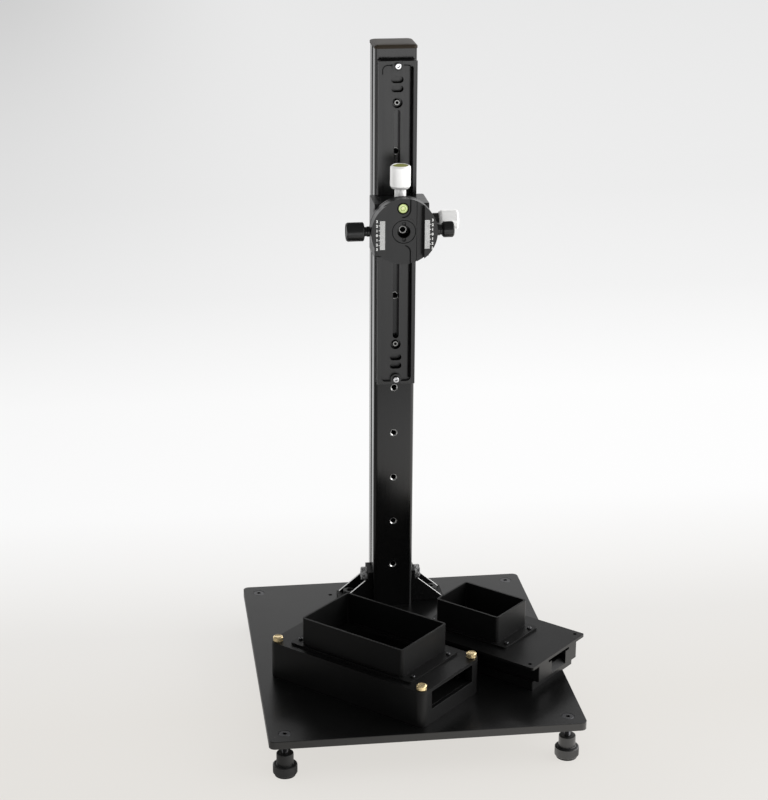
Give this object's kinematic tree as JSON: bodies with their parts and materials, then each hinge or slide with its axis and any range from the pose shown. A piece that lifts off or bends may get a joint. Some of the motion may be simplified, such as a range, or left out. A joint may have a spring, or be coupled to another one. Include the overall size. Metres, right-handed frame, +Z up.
{
  "type": "camera copy stand",
  "caption": "Copy stand: a flat bed on levelling feet, a slotted column with a dovetail rail, a clamped carriage with a panning camera clamp, and two film carriers.",
  "frame": {"origin": "centre of the base plate's top face, on which the copy lies", "axes": "+Z up along the column, +Y from the front edge towards the column, +X to the right seen from the front"},
  "size_m": [0.3309, 0.35, 0.648],
  "materials": {
    "plate_black": "matt black anodised, fine grained",
    "column_black": "satin black anodised extrusion",
    "rail_black": "satin black anodised, machined",
    "clamp_black": "satin black anodised, machined",
    "bracket_cast": "black powder coat on a rough casting",
    "knob_black": "satin black anodised, knurled",
    "knob_silver": "satin silver anodised",
    "knob_label": "olive green inlay, satin",
    "steel_dark": "black oxide",
    "steel_bright": "bright zinc plated",
    "cap_plastic": "black moulded plastic",
    "pad_rubber": "matt black",
    "pad_nylon": "natural nylon",
    "bubble_rim": "bright",
    "bubble_fluid": "clear yellow green",
    "carrier_black": "matt black anodised",
    "hood_black": "matt black powder coat",
    "nut_brass": "bright, knurled"
  },
  "bodies": {
    "stand": {"base_plate": "plate_black", "foot_studs": "steel_dark", "column": "column_black", "column_cap": "cap_plastic", "column_bolts": "steel_dark", "bracket_left": "bracket_cast", "bracket_right": "bracket_cast", "bracket_bolts": "steel_bright", "slot_nuts": "steel_bright", "rail_plate": "rail_black", "rail_screws": "steel_dark", "stop_screws": "steel_bright"},
    "carriage": {"rail_clamp": "clamp_black", "cross_clamp": "clamp_black", "clamp_screws": "steel_dark", "jaw_guides": "steel_bright"},
    "rail_jaw": {"rail_jaw": "clamp_black"},
    "rail_knob": {"rail_knob": "knob_silver", "rail_knob_collar": "knob_black", "rail_knob_screw": "steel_bright"},
    "cross_jaw": {"cross_jaw": "clamp_black"},
    "cross_knob": {"cross_knob": "knob_silver", "cross_knob_cap": "knob_label", "cross_knob_screw": "steel_bright"},
    "pan_base": {"pan_base": "clamp_black", "spindle_cap": "clamp_black", "spindle_bolt": "steel_dark"},
    "pan_disc": {"pan_disc": "clamp_black", "disc_guides": "steel_bright", "bubble_cup": "bubble_rim", "bubble_vial": "bubble_fluid"},
    "disc_jaw": {"disc_jaw": "clamp_black"},
    "jaw_knob": {"jaw_knob": "knob_black", "jaw_knob_screw": "steel_bright"},
    "pan_lock_pad": {"pan_lock_pad": "pad_nylon"},
    "pan_knob": {"pan_knob": "knob_black", "pan_knob_screw": "steel_bright"},
    "large_carrier": {"large_body": "carrier_black", "large_lid": "carrier_black", "large_gate": "carrier_black", "large_hood": "hood_black", "large_hood_screws": "steel_dark", "large_studs": "steel_bright"},
    "small_carrier": {"small_base": "carrier_black", "small_block": "carrier_black", "small_top": "carrier_black", "small_hood": "hood_black", "small_hood_screws": "steel_dark"},
    "pad_front_left": {"pad_front_left": "pad_rubber"},
    "foot_front_left": {"foot_front_left": "knob_black"},
    "pad_front_right": {"pad_front_right": "pad_rubber"},
    "foot_front_right": {"foot_front_right": "knob_black"},
    "pad_rear_left": {"pad_rear_left": "pad_rubber"},
    "foot_rear_left": {"foot_rear_left": "knob_black"},
    "pad_rear_right": {"pad_rear_right": "pad_rubber"},
    "foot_rear_right": {"foot_rear_right": "knob_black"},
    "large_nut_front_left": {"large_nut_front_left": "nut_brass"},
    "large_nut_front_right": {"large_nut_front_right": "nut_brass"},
    "large_nut_rear_left": {"large_nut_rear_left": "nut_brass"},
    "large_nut_rear_right": {"large_nut_rear_right": "nut_brass"}
  },
  "joints": [
    {"name": "carriage_slide", "type": "slide", "parent": "stand", "child": "carriage", "axis": [0, 0, 1], "range_m": [-0.1365, 0.126]},
    {"name": "rail_knob_turn", "type": "hinge", "parent": "carriage", "child": "rail_knob", "pos_m": [0.044, 0.09095, 0.431], "axis": [1, 0, 0], "range_deg": [0, 864]},
    {"name": "rail_jaw_slide", "type": "slide", "parent": "carriage", "child": "rail_jaw", "axis": [-1, 0, 0], "range_m": [0, 0.00302]},
    {"name": "cross_knob_turn", "type": "hinge", "parent": "carriage", "child": "cross_knob", "pos_m": [0.004, 0.0771, 0.476], "axis": [0, 0, 1], "range_deg": [0, 864]},
    {"name": "cross_jaw_slide", "type": "slide", "parent": "carriage", "child": "cross_jaw", "axis": [0, 0, -1], "range_m": [0, 0.00302]},
    {"name": "cross_slide", "type": "slide", "parent": "carriage", "child": "pan_base", "axis": [1, 0, 0], "range_m": [-0.02, 0.02]},
    {"name": "pan_turn", "type": "hinge", "parent": "pan_base", "child": "pan_disc", "pos_m": [0.004, 0.051, 0.431], "axis": [0, -1, 0], "continuous": true},
    {"name": "disc_jaw_slide", "type": "slide", "parent": "pan_disc", "child": "disc_jaw", "axis": [1, 0, 0], "range_m": [0, 0.00302]},
    {"name": "jaw_knob_turn", "type": "hinge", "parent": "disc_jaw", "child": "jaw_knob", "pos_m": [0.044, 0.0546, 0.431], "axis": [1, 0, 0], "range_deg": [0, 1080]},
    {"name": "pan_pad_slide", "type": "slide", "parent": "pan_disc", "child": "pan_lock_pad", "axis": [-1, 0, 0], "range_m": [-0.0002, 0.00072]},
    {"name": "pan_knob_turn", "type": "hinge", "parent": "pan_lock_pad", "child": "pan_knob", "pos_m": [-0.036, 0.0546, 0.431], "axis": [-1, 0, 0], "range_deg": [-90, 360]},
    {"name": "foot_front_left_travel", "type": "slide", "parent": "stand", "child": "pad_front_left", "axis": [0, 0, -1], "range_m": [-0.00505, 0.00505]},
    {"name": "foot_front_left_turn", "type": "hinge", "parent": "pad_front_left", "child": "foot_front_left", "pos_m": [-0.137, -0.159, -0.03], "axis": [0, 0, -1], "range_deg": [-1800, 1800]},
    {"name": "foot_front_right_travel", "type": "slide", "parent": "stand", "child": "pad_front_right", "axis": [0, 0, -1], "range_m": [-0.00505, 0.00505]},
    {"name": "foot_front_right_turn", "type": "hinge", "parent": "pad_front_right", "child": "foot_front_right", "pos_m": [0.137, -0.159, -0.03], "axis": [0, 0, -1], "range_deg": [-1800, 1800]},
    {"name": "foot_rear_left_travel", "type": "slide", "parent": "stand", "child": "pad_rear_left", "axis": [0, 0, -1], "range_m": [-0.00505, 0.00505]},
    {"name": "foot_rear_left_turn", "type": "hinge", "parent": "pad_rear_left", "child": "foot_rear_left", "pos_m": [-0.137, 0.159, -0.03], "axis": [0, 0, -1], "range_deg": [-1800, 1800]},
    {"name": "foot_rear_right_travel", "type": "slide", "parent": "stand", "child": "pad_rear_right", "axis": [0, 0, -1], "range_m": [-0.00505, 0.00505]},
    {"name": "foot_rear_right_turn", "type": "hinge", "parent": "pad_rear_right", "child": "foot_rear_right", "pos_m": [0.137, 0.159, -0.03], "axis": [0, 0, -1], "range_deg": [-1800, 1800]},
    {"name": "large_carrier_lift", "type": "slide", "parent": "stand", "child": "large_carrier", "axis": [0, 0, 1], "range_m": [0, 0.15]},
    {"name": "small_carrier_lift", "type": "slide", "parent": "stand", "child": "small_carrier", "axis": [0, 0, 1], "range_m": [0, 0.15]},
    {"name": "large_nut_front_left_turn", "type": "hinge", "parent": "large_carrier", "child": "large_nut_front_left", "pos_m": [-0.13233, -0.03751, 0.04], "axis": [0, 0, 1], "range_deg": [0, 1080]},
    {"name": "large_nut_front_right_turn", "type": "hinge", "parent": "large_carrier", "child": "large_nut_front_right", "pos_m": [-0.00617, -0.1585, 0.04], "axis": [0, 0, 1], "range_deg": [0, 1080]},
    {"name": "large_nut_rear_left_turn", "type": "hinge", "parent": "large_carrier", "child": "large_nut_rear_left", "pos_m": [-0.07364, 0.0237, 0.04], "axis": [0, 0, 1], "range_deg": [0, 1080]},
    {"name": "large_nut_rear_right_turn", "type": "hinge", "parent": "large_carrier", "child": "large_nut_rear_right", "pos_m": [0.05253, -0.09729, 0.04], "axis": [0, 0, 1], "range_deg": [0, 1080]}
  ],
  "couplings": [
    {"joint": "rail_jaw_slide", "follows": "rail_knob_turn", "m_per_rad": 0.00019894},
    {"joint": "cross_jaw_slide", "follows": "cross_knob_turn", "m_per_rad": 0.00019894},
    {"joint": "disc_jaw_slide", "follows": "jaw_knob_turn", "m_per_rad": 0.00015915},
    {"joint": "pan_pad_slide", "follows": "pan_knob_turn", "m_per_rad": 0.00011141},
    {"joint": "foot_front_left_travel", "follows": "foot_front_left_turn", "m_per_rad": 0.00015915},
    {"joint": "foot_front_right_travel", "follows": "foot_front_right_turn", "m_per_rad": 0.00015915},
    {"joint": "foot_rear_left_travel", "follows": "foot_rear_left_turn", "m_per_rad": 0.00015915},
    {"joint": "foot_rear_right_travel", "follows": "foot_rear_right_turn", "m_per_rad": 0.00015915}
  ]
}
